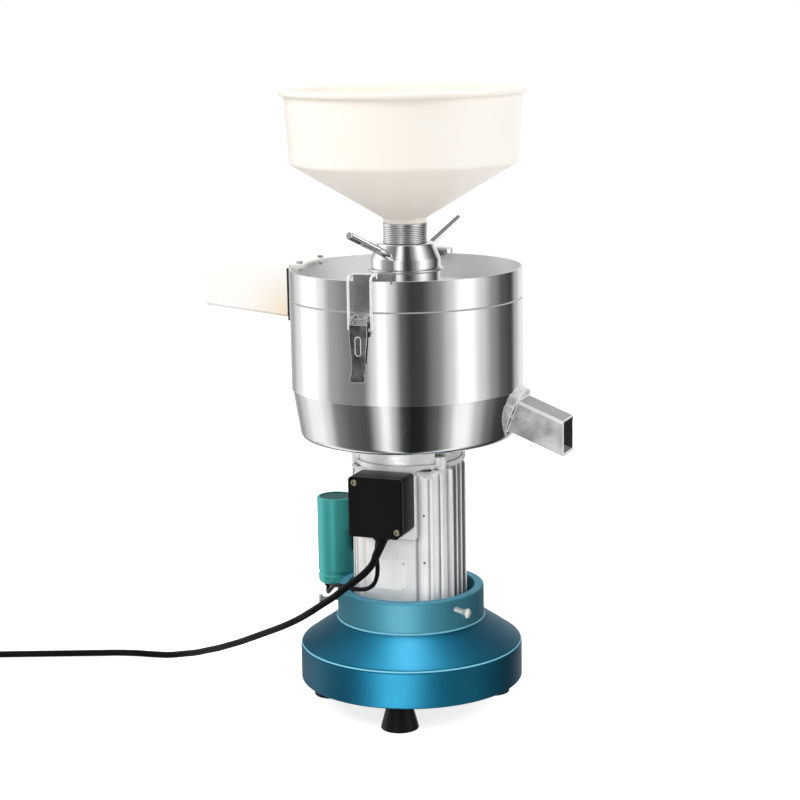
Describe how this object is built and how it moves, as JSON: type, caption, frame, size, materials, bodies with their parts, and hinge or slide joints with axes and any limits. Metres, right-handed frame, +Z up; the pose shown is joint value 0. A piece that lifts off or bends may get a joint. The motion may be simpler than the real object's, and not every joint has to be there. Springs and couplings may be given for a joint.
{
  "type": "soy milk maker",
  "caption": "Upright soybean grinder: feed hopper over a steel drum with grinding stones and a sieve basket, milk spout, residue chute, finned motor and a round base.",
  "frame": {"origin": "on the floor, on the motor shaft's vertical axis", "axes": "+Z up along the shaft, +X towards the milk spout, -X towards the residue chute, -Y towards the front latch and the terminal box"},
  "size_m": [0.9459, 0.3054, 0.7057],
  "materials": {
    "blue_paint": "metallic gloss",
    "black_rubber": "matt",
    "zinc_steel": "zinc plated",
    "cast_aluminium": "as cast",
    "core_steel": "machined",
    "copper": "enamelled wire",
    "bearing_steel": "ground",
    "black_plastic": "satin",
    "teal_plastic": "gloss",
    "black_pvc": "satin",
    "black_nylon": "satin",
    "pin_brass": "plated",
    "stainless": "polished",
    "seal_rubber": "matt",
    "cream_plastic": "gloss",
    "white_plastic": "gloss",
    "machined_steel": "turned",
    "bright_chrome": "mirror",
    "grinding_stone": "rough, matt",
    "latch_steel": "nickel plated",
    "wire_steel": "drawn wire"
  },
  "bodies": {
    "stand": {"base_casting": "blue_paint", "rubber_feet": "black_rubber", "foot_bolts": "zinc_steel", "motor_set_screws": "zinc_steel", "motor_housing": "cast_aluminium", "lower_end_shield": "cast_aluminium", "upper_end_shield": "cast_aluminium", "through_bolts": "zinc_steel", "stator_core": "core_steel", "stator_windings": "copper", "lower_bearing": "bearing_steel", "upper_bearing": "bearing_steel", "terminal_box": "black_plastic", "terminal_cover": "black_plastic", "cover_screws": "zinc_steel", "terminal_block": "black_plastic", "cable_gland": "black_plastic", "capacitor": "teal_plastic", "capacitor_clip": "black_plastic", "capacitor_lead": "black_pvc", "drum_bowl": "stainless", "drum_bolts": "zinc_steel", "drum_wall": "stainless", "shaft_seal": "seal_rubber", "residue_shelf": "stainless", "milk_spout": "stainless", "spout_screws": "zinc_steel", "lid_gasket": "seal_rubber", "lid": "stainless", "lid_boss": "machined_steel", "boss_bolts": "zinc_steel", "residue_chute": "cream_plastic", "chute_screws": "zinc_steel", "front_latch_base": "latch_steel", "rear_latch_base": "latch_steel", "latch_pins": "zinc_steel", "latch_keepers": "latch_steel", "power_cord": "black_pvc", "cord_coil": "black_pvc", "cord_tie": "black_nylon", "plug_body": "black_pvc", "plug_pins": "pin_brass"},
    "rotor": {"motor_shaft": "core_steel", "rotor_core": "cast_aluminium", "cooling_fan": "black_plastic", "sieve_basket": "stainless", "lower_stone": "grinding_stone", "stone_nut": "zinc_steel"},
    "collar": {"adjusting_collar": "bright_chrome", "adjusting_handles": "bright_chrome"},
    "feed": {"feed_tube": "machined_steel", "upper_stone": "grinding_stone", "stone_screws": "zinc_steel"},
    "hopper": {"hopper": "white_plastic"},
    "front_lever": {"front_lever": "latch_steel"},
    "front_bail": {"front_bail": "wire_steel"},
    "rear_lever": {"rear_lever": "latch_steel"},
    "rear_bail": {"rear_bail": "wire_steel"}
  },
  "joints": [
    {"name": "rotor_spin", "type": "hinge", "parent": "stand", "child": "rotor", "pos_m": [0, 0, 0.2], "axis": [0, 0, 1], "continuous": true},
    {"name": "collar_turn", "type": "hinge", "parent": "stand", "child": "collar", "pos_m": [0, 0, 0.5123], "axis": [0, 0, 1], "range_deg": [-90, 270]},
    {"name": "feed_slide", "type": "slide", "parent": "stand", "child": "feed", "axis": [0, 0, 1], "range_m": [-0.00051, 0.00151]},
    {"name": "hopper_lift", "type": "slide", "parent": "feed", "child": "hopper", "axis": [0, 0, 1], "range_m": [0, 0.1]},
    {"name": "front_lever_turn", "type": "hinge", "parent": "stand", "child": "front_lever", "pos_m": [0.00244, -0.13998, 0.4675], "axis": [-0.9998, -0.0175, 0], "range_deg": [0, 135]},
    {"name": "front_bail_turn", "type": "hinge", "parent": "front_lever", "child": "front_bail", "pos_m": [0.00244, -0.13998, 0.4575], "axis": [-0.9998, -0.0175, 0], "range_deg": [-122, 0]},
    {"name": "rear_lever_turn", "type": "hinge", "parent": "stand", "child": "rear_lever", "pos_m": [-0.00977, 0.13966, 0.4675], "axis": [0.9976, 0.0698, 0], "range_deg": [0, 135]},
    {"name": "rear_bail_turn", "type": "hinge", "parent": "rear_lever", "child": "rear_bail", "pos_m": [-0.00977, 0.13966, 0.4575], "axis": [0.9976, 0.0698, 0], "range_deg": [-122, 0]}
  ],
  "couplings": [
    {"joint": "feed_slide", "follows": "collar_turn", "m_per_rad": 0.00031831},
    {"joint": "front_bail_turn", "follows": "front_lever_turn", "ratio": -0.9},
    {"joint": "rear_bail_turn", "follows": "rear_lever_turn", "ratio": -0.9}
  ]
}
